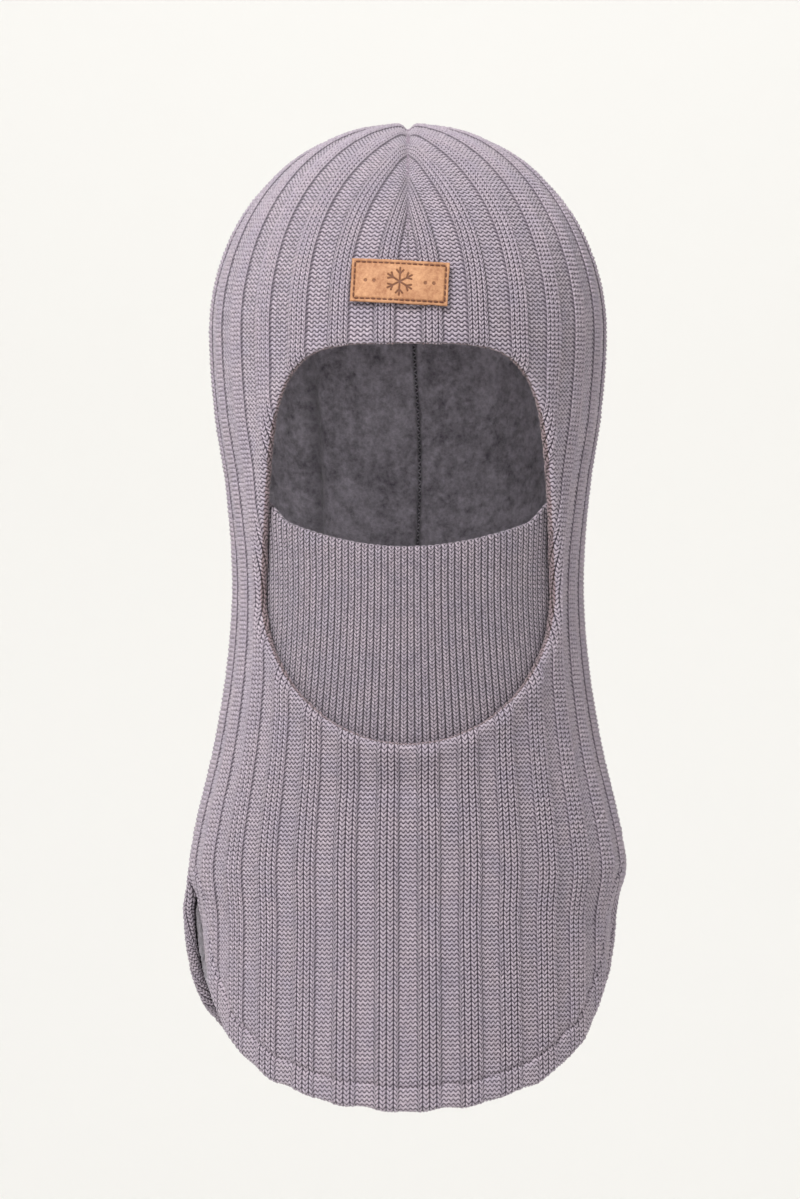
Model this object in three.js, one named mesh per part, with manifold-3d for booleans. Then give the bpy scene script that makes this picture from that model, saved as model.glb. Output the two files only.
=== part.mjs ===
// A child's knitted balaclava: a wide-rib knit shell over a fleece lining, a fine-rib mask folded
// double behind the lower edge of the face opening, a leather label on the forehead, and a front
// and a back bib parted by a slit at each side. Millimetres, +Z up, the front faces -Y. The origin
// is the centre of the wearer's head at the hood's widest level.
import * as THREE from 'three';
import { mergeVertices } from 'three/addons/utils/BufferGeometryUtils.js';
import Module from 'manifold-3d';

const wasm = await Module();
wasm.setup();

// ---- driving dimensions ----
const HEAD_HALF_WIDTH = 84.5;    // hood, outside, at its widest level
const HEAD_FRONT_DEPTH = 94;     // origin to the forehead, outside
const HEAD_BACK_DEPTH = 97;      // origin to the back of the head, outside
const CROWN_BASE = 5;            // level where the crown's dome starts
const CROWN_RISE = 90;           // dome height above that level
const SLIT_TOP = -221;           // level where the side slits start and the bibs bend
const HEM_LEVEL = -327;          // lowest point of the front bib's hem
const BACK_HEM_LEVEL = -321;     // lowest point of the back bib's hem
const BODY_FOOT = Math.min(HEM_LEVEL, BACK_HEM_LEVEL);
const BIB_FLARE = 29;            // below the slit's top, where the bibs stop drawing in

// Half sizes of the outside below the crown: level, side of the front half, side of the back half,
// front depth, back depth.
const BODY = [
  [CROWN_BASE, HEAD_HALF_WIDTH, HEAD_HALF_WIDTH, HEAD_FRONT_DEPTH, HEAD_BACK_DEPTH],
  [-30, 82.2, 82.2, 94.5, 95.5],
  [-60, 77.8, 77.8, 93, 87],
  [-100, 74.8, 74.8, 88, 73],
  [-135, 76.8, 76.8, 83, 65],
  [-170, 82.3, 82.3, 76, 61],
  [SLIT_TOP, 93.6, 93.6, 69, 61],
  [SLIT_TOP - BIB_FLARE, 91.4, 94.4, 69, 63],
  [BODY_FOOT, 91, 94, 75, 69],
];

const SHELL_THICKNESS = 3;
const LINING_THICKNESS = 1.8;
const FACING_THICKNESS = 1.1;
const MASK_LAYER = 1.2;
const LAYER_GAP = 0.3;           // between two layers that touch
const SLIDE_GAP = 0.4;           // between the mask and the facing it slides behind
const THREAD = 0.6;

const HOLE_TOP = -2;             // face opening, top of its edge
const HOLE_MIDDLE = -106;        // level where the opening is widest
const HOLE_BOTTOM = -170.7;
const HOLE_HALF_WIDTH = 63.2;
const HOLE_TAPER = 0.07;         // how much narrower the opening is at its top
const HOLE_TOP_ROUNDING = 4.8;   // exponent of the top's superellipse
const FACING_WIDTH = 7;
const LINING_SETBACK = 12;       // the lining stops this far outside the opening's edge

const MASK_EDGE_CENTRE = -88;    // the mask's folded top edge, at the middle
const MASK_EDGE_RISE = 14;       // how much higher it is at the opening's sides
const MASK_TUCK = LINING_SETBACK - LAYER_GAP;   // the mask's sides meet the lining's edge
const RIM_TUCK = 6;
const RIM_HEIGHT = 8;

const LABEL_WIDTH = 40;
const LABEL_HEIGHT = 17.8;
const LABEL_THICKNESS = 1.4;
const LABEL_CENTRE = [-3.4, 23.6];
const LABEL_TILT = THREE.MathUtils.degToRad(-3);
const STITCH_INSET = 1.4;        // the label's stitch line, in from its edge

const BIB_ROUND_LEVEL = SLIT_TOP - 14;          // the bibs' rounded outline starts here
const BIB_REACH = THREE.MathUtils.degToRad(81);   // how far round the body it reaches there
const HEM_WIDTH = 10;
const HEM_EXTRA = 0.5;           // the folded hem stands proud of the shell by this much

const FRONT_SEAM_FOOT = 60;      // the dart on the forehead ends at this level
const SEAM_WIDTH = 1.6;
const LINING_SEAM_WIDTH = 3;

const AROUND = 36;               // facets round the body
const CROWN_STEPS = 6;
const LEAST_STEP = 5;            // between two levels of the mesh
const LEVELS = [-15, -32, -50, -70, -94, -118, -145, -170, -196]
  .filter((level) => level > SLIT_TOP + LEAST_STEP);
const BIB_LEVELS = [-17, -39, -69].map((drop) => SLIT_TOP + drop)
  .filter((level) => level > BODY_FOOT + LEAST_STEP);
const HOLE_STEPS = 40;
const BIB_COLUMNS = 28;
const BIB_SPACE_INNER = 0.75;    // the space cut out for a bib, as shares of the body's half sizes
const BIB_SPACE_OUTER = 1.25;
const REACH = 140;               // half length of a cutter that passes right through

// ---- the body's form ----
// A smooth curve through the BODY rows, one column at a time.
function bodySize(level, column) {
  const last = BODY.length - 1;
  let i = 0;
  while (i < last - 1 && level < BODY[i + 1][0]) i += 1;
  const slope = (a, b) => (BODY[b][column] - BODY[a][column]) / (BODY[b][0] - BODY[a][0]);
  const tangent = (k) => (k === 0 ? 0 : slope(k - 1, Math.min(k + 1, last)));
  const span = BODY[i + 1][0] - BODY[i][0];
  const t = (level - BODY[i][0]) / span;
  const [t2, t3] = [t * t, t * t * t];
  return (2 * t3 - 3 * t2 + 1) * BODY[i][column] + (t3 - 2 * t2 + t) * span * tangent(i)
    + (3 * t2 - 2 * t3) * BODY[i + 1][column] + (t3 - t2) * span * tangent(i + 1);
}

// One ring of the body at a level, set in from the outside by inset.
function bodyRing(level, inset) {
  return { z: level, sizes: [1, 2, 3, 4].map((column) => bodySize(level, column) - inset) };
}

// One ring of the crown, an ellipsoid: rise is 0 at its base and 1 at the pole.
function crownRing(rise, inset) {
  const angle = rise * Math.PI / 2;
  const shrink = rise === 1 ? 0 : Math.cos(angle);
  const sizes = [HEAD_HALF_WIDTH, HEAD_HALF_WIDTH, HEAD_FRONT_DEPTH, HEAD_BACK_DEPTH];
  return {
    z: CROWN_BASE + (CROWN_RISE - inset) * Math.sin(angle),
    sizes: sizes.map((size) => (size - inset) * shrink),
  };
}

function hoodRings(inset) {
  const crown = [];
  for (let i = CROWN_STEPS; i > 0; i -= 1) crown.push(crownRing(i / CROWN_STEPS, inset));
  return [...crown, ...[CROWN_BASE, ...LEVELS, SLIT_TOP].map((level) => bodyRing(level, inset))];
}

function bibRings(inset) {
  return [SLIT_TOP - LAYER_GAP, ...BIB_LEVELS, BODY_FOOT].map((level) => bodyRing(level, inset));
}

// Splits the inner side's facets along the same diagonals as the outer side's, so that nested
// walls keep an even gap between them.
function matchDiagonals(geometry, ringCount, innerCount) {
  for (let i = 0; i < AROUND; i += 1) {
    for (let j = 0; j < innerCount - 1; j += 1) {
      const a = i * ringCount + j;
      const [b, c, d] = [a + ringCount, a + ringCount + 1, a + 1];
      geometry.index.array.set([a, b, c, c, d, a], (i * (ringCount - 1) + j) * 6);
    }
  }
}

// A wall between two insets: a lathe turned on the rings, then stretched to each ring's sizes.
function wall(ringsAt, outerInset, innerInset) {
  const rings = [...ringsAt(innerInset), ...ringsAt(outerInset).reverse()];
  const profile = rings.map((ring) => new THREE.Vector2(ring.sizes[0], ring.z));
  if (rings[0].sizes[0] > 0) {
    rings.push(rings[0]);
    profile.push(profile[0].clone());
  }
  const geometry = new THREE.LatheGeometry(profile, AROUND);
  matchDiagonals(geometry, rings.length, ringsAt(innerInset).length);
  const position = geometry.attributes.position;
  for (let i = 0; i < position.count; i += 1) {
    const { z, sizes } = rings[i % rings.length];
    const turn = Math.floor(i / rings.length) * 2 * Math.PI / AROUND;
    const [across, along] = [Math.sin(turn), Math.cos(turn)];
    const side = along > 0 ? sizes[1] : sizes[0];
    const depth = along > 0 ? sizes[3] : sizes[2];
    position.setXYZ(i, -across * side, along * depth, z);
  }
  return solid(geometry);
}

// ---- solids ----
function solid(geometry) {
  geometry.deleteAttribute('normal');
  geometry.deleteAttribute('uv');
  const merged = mergeVertices(geometry, 1e-4);
  const index = merged.index.array;
  const triangles = [];
  for (let i = 0; i < index.length; i += 3) {
    const [a, b, c] = [index[i], index[i + 1], index[i + 2]];
    if (a !== b && b !== c && c !== a) triangles.push(a, b, c);
  }
  return new wasm.Manifold(new wasm.Mesh({
    numProp: 3,
    vertProperties: new Float32Array(merged.attributes.position.array),
    triVerts: new Uint32Array(triangles),
  }));
}

// A prism of an XZ outline that runs along Y from one depth to another.
function prism(points, fromY, toY) {
  const shape = new THREE.Shape(points);
  const geometry = new THREE.ExtrudeGeometry(shape, { depth: toY - fromY, bevelEnabled: false });
  geometry.rotateX(Math.PI / 2);
  geometry.translate(0, toY, 0);
  return solid(geometry);
}

function block(minimum, maximum) {
  const size = maximum.map((high, i) => high - minimum[i]);
  const geometry = new THREE.BoxGeometry(...size);
  geometry.translate(...minimum.map((low, i) => low + size[i] / 2));
  return solid(geometry);
}

function piece(name, body, material) {
  const { vertProperties, triVerts } = body.getMesh();
  const geometry = new THREE.BufferGeometry();
  geometry.setAttribute('position', new THREE.BufferAttribute(vertProperties, 3));
  geometry.setIndex(new THREE.BufferAttribute(triVerts, 1));
  geometry.computeVertexNormals();
  const mesh = new THREE.Mesh(geometry, material);
  mesh.name = name;
  return mesh;
}

// ---- outlines ----
// The face opening's outline, grown outwards: a round bottom and a squarer, narrower top.
function holeOutline(grow) {
  const points = [];
  for (let i = 0; i < HOLE_STEPS; i += 1) {
    const angle = i / HOLE_STEPS * 2 * Math.PI;
    const [across, up] = [Math.cos(angle), Math.sin(angle)];
    const power = up > 0 ? 2 / HOLE_TOP_ROUNDING : 1;
    const height = (up > 0 ? HOLE_TOP - HOLE_MIDDLE : HOLE_MIDDLE - HOLE_BOTTOM) + grow;
    const rise = Math.sign(up) * Math.abs(up) ** power;
    const half = (HOLE_HALF_WIDTH + grow) * (1 - HOLE_TAPER * Math.max(rise, 0));
    const x = half * Math.sign(across) * Math.abs(across) ** power;
    points.push(new THREE.Vector2(x, HOLE_MIDDLE + rise * height));
  }
  return points;
}

function holePrism(grow) {
  return prism(holeOutline(grow), -REACH, -15);
}

// Everything below the mask's top edge, lowered by drop.
function belowMaskEdge(drop) {
  const points = [];
  const steps = 12;
  const reach = HOLE_HALF_WIDTH + LINING_SETBACK;
  for (let i = 0; i <= steps; i += 1) {
    const x = reach * (1 - 2 * i / steps);
    const rise = MASK_EDGE_RISE * (x / HOLE_HALF_WIDTH) ** 2;
    points.push(new THREE.Vector2(x, MASK_EDGE_CENTRE + rise - drop));
  }
  points.push(new THREE.Vector2(-reach, HOLE_BOTTOM - REACH));
  points.push(new THREE.Vector2(reach, HOLE_BOTTOM - REACH));
  return prism(points, -REACH, -15);
}

// The lower edge of a bib at an angle from its middle, set in from the edge: half an ellipse as
// it lies round the body, then a straight slit edge up to the slit's top.
function bibEdge(angle, lowest, inset) {
  const turned = inset / BIB_DEPTH;
  const reach = BIB_REACH - turned;
  const share = Math.abs(angle) / reach;
  if (share < 1) return BIB_ROUND_LEVEL - (BIB_ROUND_LEVEL - lowest - inset) * Math.sqrt(1 - share ** 2);
  return BIB_ROUND_LEVEL + (SLIT_TOP - BIB_ROUND_LEVEL) * (Math.abs(angle) - reach) / (SLIT_REACH - BIB_REACH);
}

// The space that one bib fills: a box bent round the body, with its lower face along the edge.
// side is -1 for the front bib and 1 for the back bib.
function bibSpace(side, lowest, inset) {
  const geometry = new THREE.BoxGeometry(1, 1, 1, BIB_COLUMNS, 1, 1);
  const position = geometry.attributes.position;
  const reach = SLIT_REACH - inset / BIB_DEPTH;
  for (let i = 0; i < position.count; i += 1) {
    const angle = reach * Math.sin(Math.PI * position.getX(i));
    const level = position.getY(i) > 0 ? SLIT_TOP + 1 : bibEdge(angle, lowest, inset);
    const scale = position.getZ(i) > 0 ? BIB_SPACE_OUTER : BIB_SPACE_INNER;
    const across = Math.sin(angle) * BIB_HALF_WIDTH * scale;
    position.setXYZ(i, -side * across, side * Math.cos(angle) * BIB_DEPTH * scale, level);
  }
  return solid(geometry);
}

function labelPrism(inset) {
  const [halfWidth, halfHeight] = [LABEL_WIDTH / 2 - inset, LABEL_HEIGHT / 2 - inset];
  const corners = [[-1, -1], [1, -1], [1, 1], [-1, 1]];
  const turn = new THREE.Vector2(0, 0);
  const points = corners.map(([across, up]) => new THREE.Vector2(across * halfWidth, up * halfHeight)
    .rotateAround(turn, LABEL_TILT).add(new THREE.Vector2(...LABEL_CENTRE)));
  return prism(points, -REACH, -15);
}

// ---- materials ----
const knit = new THREE.MeshStandardMaterial({ color: 0x9a8f9a, roughness: 0.95, metalness: 0 });
const fineKnit = new THREE.MeshStandardMaterial({ color: 0x8a7d87, roughness: 0.95, metalness: 0 });
const fleece = new THREE.MeshStandardMaterial({ color: 0x4b4950, roughness: 1, metalness: 0 });
const leather = new THREE.MeshStandardMaterial({ color: 0xc28b58, roughness: 0.7, metalness: 0 });
const thread = new THREE.MeshStandardMaterial({ color: 0x5a3a26, roughness: 0.8, metalness: 0 });
const seamThread = new THREE.MeshStandardMaterial({ color: 0x7d727c, roughness: 0.9, metalness: 0 });

// ---- layers, as insets from the outside ----
const LINING_OUTER = SHELL_THICKNESS + LAYER_GAP;
const LINING_INNER = LINING_OUTER + LINING_THICKNESS;
const FACING_INNER = LINING_OUTER + FACING_THICKNESS;
const MASK_OUTER = FACING_INNER + SLIDE_GAP;
const MASK_FOLD = MASK_OUTER + MASK_LAYER;
const MASK_INNER = MASK_FOLD + LAYER_GAP + MASK_LAYER;
const HALVES = { left: -1, right: 1 };
const FRONT = -1;
const BACK = 1;

// ---- the bibs, as they lie round the body ----
const BIB_HALF_WIDTH = bodySize(BIB_ROUND_LEVEL, 1);
const BIB_DEPTH = bodySize(BIB_ROUND_LEVEL, 3);
const SLIT_REACH = Math.acos(LAYER_GAP / BIB_DEPTH);

// ---- pieces ----
function hoodPieces() {
  const pieces = [];
  const shell = wall(hoodRings, 0, SHELL_THICKNESS).subtract(holePrism(0));
  pieces.push(piece('hood_shell', shell, knit));
  const facing = wall(hoodRings, LINING_OUTER, FACING_INNER)
    .intersect(holePrism(FACING_WIDTH)).subtract(holePrism(0)).subtract(belowMaskEdge(-LAYER_GAP));
  pieces.push(piece('face_edge', facing, knit));
  const lining = wall(hoodRings, LINING_OUTER, LINING_INNER).subtract(holePrism(LINING_SETBACK));
  for (const [half, side] of Object.entries(HALVES)) {
    const [near, far] = [side * LAYER_GAP / 2, side * REACH];
    const space = block([Math.min(near, far), -REACH, 2 * SLIT_TOP], [Math.max(near, far), REACH, REACH]);
    pieces.push(piece(`hood_lining_${half}`, lining.intersect(space), fleece));
  }
  return pieces;
}

// The seams run along the middle: over the crown from the forehead and down the back.
function middleStrip(width, foot) {
  const back = block([-width / 2, 1, 2 * SLIT_TOP], [width / 2, REACH, REACH]);
  return back.add(block([-width / 2, -REACH, foot], [width / 2, REACH, REACH]));
}

function seamPieces() {
  const crown = wall(hoodRings, -LAYER_GAP - THREAD, -LAYER_GAP)
    .intersect(middleStrip(SEAM_WIDTH, FRONT_SEAM_FOOT));
  const inner = LINING_INNER + LAYER_GAP;
  const lining = wall(hoodRings, inner, inner + THREAD)
    .intersect(middleStrip(LINING_SEAM_WIDTH, FRONT_SEAM_FOOT));
  const back = wall(bibRings, -LAYER_GAP - THREAD, -LAYER_GAP)
    .intersect(middleStrip(SEAM_WIDTH, FRONT_SEAM_FOOT))
    .intersect(bibSpace(BACK, BACK_HEM_LEVEL, HEM_WIDTH + LAYER_GAP));
  return [
    piece('crown_seam', crown, seamThread),
    piece('lining_seam', lining, fleece),
    piece('back_bib_seam', back, seamThread),
  ];
}

function maskPieces() {
  const tucked = holePrism(MASK_TUCK);
  const panel = tucked.intersect(belowMaskEdge(RIM_HEIGHT + LAYER_GAP));
  const outer = wall(hoodRings, MASK_OUTER, MASK_FOLD).intersect(panel);
  const inner = wall(hoodRings, MASK_FOLD + LAYER_GAP, MASK_INNER).intersect(panel);
  const rim = wall(hoodRings, MASK_OUTER, MASK_INNER).intersect(holePrism(RIM_TUCK))
    .intersect(belowMaskEdge(0)).subtract(belowMaskEdge(RIM_HEIGHT));
  return [
    piece('mask_outer', outer, fineKnit),
    piece('mask_inner', inner, fineKnit),
    piece('mask_rim', rim, fineKnit),
  ];
}

function labelPieces() {
  const back = -LAYER_GAP - LABEL_THICKNESS;
  const label = wall(hoodRings, back, -LAYER_GAP).intersect(labelPrism(0));
  const stitching = wall(hoodRings, back - LAYER_GAP - THREAD, back - LAYER_GAP)
    .intersect(labelPrism(STITCH_INSET)).subtract(labelPrism(STITCH_INSET + THREAD));
  return [piece('label', label, leather), piece('label_stitching', stitching, thread)];
}

function bibPieces(name, side, lowest) {
  const inside = bibSpace(side, lowest, HEM_WIDTH + LAYER_GAP);
  const shell = wall(bibRings, 0, SHELL_THICKNESS).intersect(inside);
  const lining = wall(bibRings, LINING_OUTER, LINING_INNER).intersect(inside);
  const hem = wall(bibRings, -HEM_EXTRA, LINING_INNER + HEM_EXTRA)
    .intersect(bibSpace(side, lowest, 0)).subtract(bibSpace(side, lowest, HEM_WIDTH));
  return [
    piece(`${name}_shell`, shell, knit),
    piece(`${name}_lining`, lining, fleece),
    piece(`${name}_hem`, hem, knit),
  ];
}

const balaclava = new THREE.Group();
balaclava.add(
  ...hoodPieces(),
  ...seamPieces(),
  ...maskPieces(),
  ...labelPieces(),
  ...bibPieces('front_bib', FRONT, HEM_LEVEL),
  ...bibPieces('back_bib', BACK, BACK_HEM_LEVEL),
);

export default balaclava;
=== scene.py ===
import math

import bpy
import numpy as np
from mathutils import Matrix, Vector
from mathutils.kdtree import KDTree


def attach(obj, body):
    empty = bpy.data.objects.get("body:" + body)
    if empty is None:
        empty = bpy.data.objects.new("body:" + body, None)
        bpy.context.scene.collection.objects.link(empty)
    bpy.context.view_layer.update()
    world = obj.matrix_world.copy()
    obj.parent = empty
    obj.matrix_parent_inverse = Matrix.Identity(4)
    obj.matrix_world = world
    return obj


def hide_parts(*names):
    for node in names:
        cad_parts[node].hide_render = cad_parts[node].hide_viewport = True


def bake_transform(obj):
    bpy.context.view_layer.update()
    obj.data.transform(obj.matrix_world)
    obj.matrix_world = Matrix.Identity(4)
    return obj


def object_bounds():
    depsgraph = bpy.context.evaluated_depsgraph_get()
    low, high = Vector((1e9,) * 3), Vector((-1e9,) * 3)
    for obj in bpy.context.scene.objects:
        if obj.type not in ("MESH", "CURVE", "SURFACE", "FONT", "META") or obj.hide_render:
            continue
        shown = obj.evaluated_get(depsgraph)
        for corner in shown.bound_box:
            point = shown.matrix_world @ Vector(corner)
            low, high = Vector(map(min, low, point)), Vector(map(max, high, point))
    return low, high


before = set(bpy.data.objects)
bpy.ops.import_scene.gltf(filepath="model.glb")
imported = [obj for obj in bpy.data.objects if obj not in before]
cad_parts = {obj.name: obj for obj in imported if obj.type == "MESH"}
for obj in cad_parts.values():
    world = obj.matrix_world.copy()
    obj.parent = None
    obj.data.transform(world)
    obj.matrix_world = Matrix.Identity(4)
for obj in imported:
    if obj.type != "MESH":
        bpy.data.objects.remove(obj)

cad_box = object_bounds()

# ---------------------------------------------------------------------------------------------
# Studio: a camera straight ahead, level with the middle of the balaclava, a pale floor that
# curves up into a backdrop, and large soft lamps.

STAND_BACK = 4.0                  # camera to the origin
FRAME_HEIGHT = 0.5155             # what the frame shows from top to bottom at the origin
VIEW_CENTRE = (-0.0034, -0.1094)  # X and Z at the middle of the frame
SENSOR = 0.036


def add_camera():
    data = bpy.data.cameras.new("camera")
    data.sensor_fit = "VERTICAL"
    data.sensor_height = SENSOR * 1000
    data.lens = SENSOR * 1000 * STAND_BACK / FRAME_HEIGHT
    data.clip_end = 50
    camera = bpy.data.objects.new("camera", data)
    camera.location = (VIEW_CENTRE[0], -STAND_BACK, VIEW_CENTRE[1])
    camera.rotation_euler = (math.pi / 2, 0, 0)
    bpy.context.scene.collection.objects.link(camera)
    bpy.context.scene.camera = camera


def add_lamp(name, place, target, size, power):
    data = bpy.data.lights.new(name, "AREA")
    data.shape = "DISK"
    data.size = size
    data.energy = power
    lamp = bpy.data.objects.new(name, data)
    lamp.location = place
    aim = Vector(target) - Vector(place)
    lamp.rotation_euler = aim.to_track_quat("-Z", "Y").to_euler()
    bpy.context.scene.collection.objects.link(lamp)


class Wire:
    """One output of a material's nodes. Sums and products of wires add Math nodes."""

    def __init__(self, tree, socket=None):
        self.tree = tree
        self.socket = socket

    def node(self, kind, settings, inputs, output=0):
        """A new node: its settings first, then the values or wires of its inputs."""
        made = self.tree.nodes.new(kind)
        for name, value in settings.items():
            setattr(made, name, value)
        for key, value in inputs.items():
            if isinstance(value, Wire):
                self.tree.links.new(value.socket, made.inputs[key])
            else:
                made.inputs[key].default_value = value
        return Wire(self.tree, made.outputs[output])

    def math(self, operation, *values):
        return self.node("ShaderNodeMath", {"operation": operation}, dict(enumerate(values)))

    def __add__(self, other):
        return self.math("ADD", self, other)

    def __sub__(self, other):
        return self.math("SUBTRACT", self, other)

    def __rsub__(self, other):
        return self.math("SUBTRACT", other, self)

    def __mul__(self, other):
        return self.math("MULTIPLY", self, other)

    def __truediv__(self, other):
        return self.math("DIVIDE", self, other)

    def __mod__(self, other):
        return self.math("MODULO", self, other)

    def __abs__(self):
        return self.math("ABSOLUTE", self)

    __radd__ = __add__
    __rmul__ = __mul__

    def mix(self, low, high):
        """The colour low where this wire is 0 and high where it is 1."""
        return self.node("ShaderNodeMix", {"data_type": "RGBA"}, {0: self, 6: low, 7: high}, 2)

    def place(self, layer=None, stretch=(1, 1, 1)):
        """Where a point of the piece lies: in metres, or in one of its UV layers."""
        if layer is None:
            vector = self.node("ShaderNodeTexCoord", {}, {}, 3)
        else:
            vector = self.node("ShaderNodeUVMap", {"uv_map": layer}, {})
        return self.node("ShaderNodeMapping", {}, {0: vector, 3: stretch})

    def noise(self, place, scale, detail=2.0, rough=0.5):
        inputs = {"Vector": place, "Scale": scale, "Detail": detail, "Roughness": rough}
        return self.node("ShaderNodeTexNoise", {}, inputs)

    def level(self, low, high):
        """This wire spread so that low becomes 0 and high becomes 1, held within them."""
        return self.node("ShaderNodeMapRange", {}, {0: self, 1: low, 2: high})

    def part(self, axis):
        """One of the three numbers of a place."""
        return self.node("ShaderNodeSeparateXYZ", {}, {0: self}, axis)

    def strand(self):
        """Where this wire counts loops: 1 in the middle of each loop and 0 between two."""
        return abs(self.math("SINE", self * math.pi))

    def attribute(self, name):
        return self.node("ShaderNodeAttribute", {"attribute_name": name}, {}, 2)

    def finish(self, colour, roughness, height=None, depth=0.001, **fixed):
        """Ends the material in one Principled shader, with a bump of that depth in metres."""
        inputs = {"Base Color": colour, "Roughness": roughness, **fixed}
        if height is not None:
            bump = {"Height": height, "Distance": depth, "Strength": 1.0}
            inputs["Normal"] = self.node("ShaderNodeBump", {}, bump)
        shader = self.node("ShaderNodeBsdfPrincipled", {}, inputs)
        output = self.tree.nodes.new("ShaderNodeOutputMaterial")
        self.tree.links.new(shader.socket, output.inputs["Surface"])


def new_material(name):
    material = bpy.data.materials.new(name)
    material.use_nodes = True
    material.node_tree.nodes.clear()
    return material, Wire(material.node_tree)


def rgb(red, green, blue):
    """A colour given as 0 to 255 on a screen, as the linear colour that shaders use."""
    linear = []
    for value in (red, green, blue):
        share = value / 255
        linear.append(share / 12.92 if share <= 0.04045 else ((share + 0.055) / 1.055) ** 2.4)
    return (*linear, 1)


def add_stage():
    floor_level = cad_box[0][2] - 0.45
    front, back, wall_top, cove = -7.0, 6.5, 5.0, 0.9
    profile = [(front, floor_level)]
    for i in range(13):
        turn = i / 12 * math.pi / 2
        profile.append((back - cove + cove * math.sin(turn), floor_level + cove * (1 - math.cos(turn))))
    profile.append((back, wall_top))
    half_width = 7.0
    vertices = [(x, y, z) for y, z in profile for x in (-half_width, half_width)]
    faces = [(2 * i, 2 * i + 1, 2 * i + 3, 2 * i + 2) for i in range(len(profile) - 1)]
    mesh = bpy.data.meshes.new("studio_floor")
    mesh.from_pydata(vertices, [], faces)
    mesh.shade_smooth()
    floor = bpy.data.objects.new("studio_floor", mesh)
    bpy.context.scene.collection.objects.link(floor)
    material, start = new_material("studio_paper")
    paper = start.noise(start.place(), 3.0).mix(rgb(243, 242, 239), rgb(244, 243, 240))
    start.finish(paper, 0.9)
    mesh.materials.append(material)


add_camera()
add_stage()
world = bpy.data.worlds.new("studio")
world.use_nodes = True
world.node_tree.nodes["Background"].inputs["Color"].default_value = (1.0, 0.99, 0.98, 1)
world.node_tree.nodes["Background"].inputs["Strength"].default_value = 0.60
bpy.context.scene.world = world
bpy.context.scene.view_settings.view_transform = "Standard"
add_lamp("key", (-0.52, -1.15, 1.10), (0, 0, 0), size=0.55, power=25)
add_lamp("front", (0.3, -3.4, 0.15), (0, 0, -0.1), size=0.9, power=10)
add_lamp("back", (1.9, 3.0, 1.7), (0, 0, -0.15), size=1.2, power=34)
add_lamp("backdrop", (0, 3.3, 2.8), (0, 6.5, -0.5), size=2.4, power=66)

# ---------------------------------------------------------------------------------------------
# The form that every layer of the garment follows: rings below the brow and a dome above it.

HEAD_HALF_WIDTH, HEAD_FRONT_DEPTH, HEAD_BACK_DEPTH = 0.0845, 0.094, 0.097
CROWN_BASE, CROWN_RISE = 0.005, 0.090
SLIT_TOP, HEM_LEVEL, BACK_HEM_LEVEL = -0.221, -0.327, -0.321
# How far the sides of the bibs stand out past the rings, or in from them where negative.
RIGHT_LEAN, FRONT_LEFT_LEAN, BACK_LEFT_LEAN = -0.0028, -0.0018, 0.0042

# Level, side of the front half, side of the back half, front depth, back depth.
BODY = np.array([
    [CROWN_BASE, HEAD_HALF_WIDTH, HEAD_HALF_WIDTH, HEAD_FRONT_DEPTH, HEAD_BACK_DEPTH],
    [-0.030, 0.0822, 0.0822, 0.0945, 0.0955],
    [-0.060, 0.0778, 0.0778, 0.0930, 0.0870],
    [-0.100, 0.0748, 0.0748, 0.0880, 0.0730],
    [-0.135, 0.0768, 0.0768, 0.0830, 0.0650],
    [-0.170, 0.0823, 0.0823, 0.0760, 0.0610],
    [SLIT_TOP, 0.0936, 0.0936, 0.0690, 0.0610],
    [-0.250, 0.0914, 0.0944, 0.0690, 0.0630],
    [HEM_LEVEL, 0.0910, 0.0940, 0.0750, 0.0690],
])


def body_size(level, column):
    """One column of BODY at any levels, along a smooth curve through its rows."""
    level = np.asarray(level, float)
    last = len(BODY) - 1
    row = np.clip(np.searchsorted(-BODY[:, 0], -level, side="right") - 1, 0, last - 1)
    z, size = BODY[:, 0], BODY[:, column]
    tangent = np.zeros(len(BODY))
    for k in range(1, last + 1):
        ahead = min(k + 1, last)
        tangent[k] = (size[ahead] - size[k - 1]) / (z[ahead] - z[k - 1])
    span = z[row + 1] - z[row]
    t = (level - z[row]) / span
    t2, t3 = t * t, t * t * t
    return ((2 * t3 - 3 * t2 + 1) * size[row] + (t3 - 2 * t2 + t) * span * tangent[row]
            + (3 * t2 - 2 * t3) * size[row + 1] + (t3 - t2) * span * tangent[row + 1])


def smooth(x, low, high):
    """0 up to low and 1 from high, with a soft step between them."""
    t = np.clip((x - low) / (high - low), 0, 1)
    return t * t * (3 - 2 * t)


def form(turn, level):
    """The point at an angle from the front (positive towards +X) and a level."""
    turn, level = np.broadcast_arrays(np.asarray(turn, float), np.asarray(level, float))
    front = np.cos(turn) > 0
    below = np.minimum(level, CROWN_BASE)
    side = np.where(front, body_size(below, 1), body_size(below, 2))
    depth = np.where(front, body_size(below, 3), body_size(below, 4))
    lean = np.where(np.sin(turn) > 0, RIGHT_LEAN, np.where(front, FRONT_LEFT_LEAN, BACK_LEFT_LEAN))
    side = side + lean * smooth(-level, -SLIT_TOP, -SLIT_TOP + 0.025)
    lift = np.clip((level - CROWN_BASE) / CROWN_RISE, 0, 1)
    shrink = np.sqrt(1 - lift * lift)
    return np.stack([np.sin(turn) * side * shrink, -np.cos(turn) * depth * shrink, level], -1)


# ---------------------------------------------------------------------------------------------
# Hood: a 4x4 rib knit of thick heather wool. Every stitch is a column (wale) and a row (course)
# of one grid that runs from the slits' tops up over the crown to the middle seam, where the
# columns are cut off and sewn. Each side is one grid, split into strips.

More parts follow.
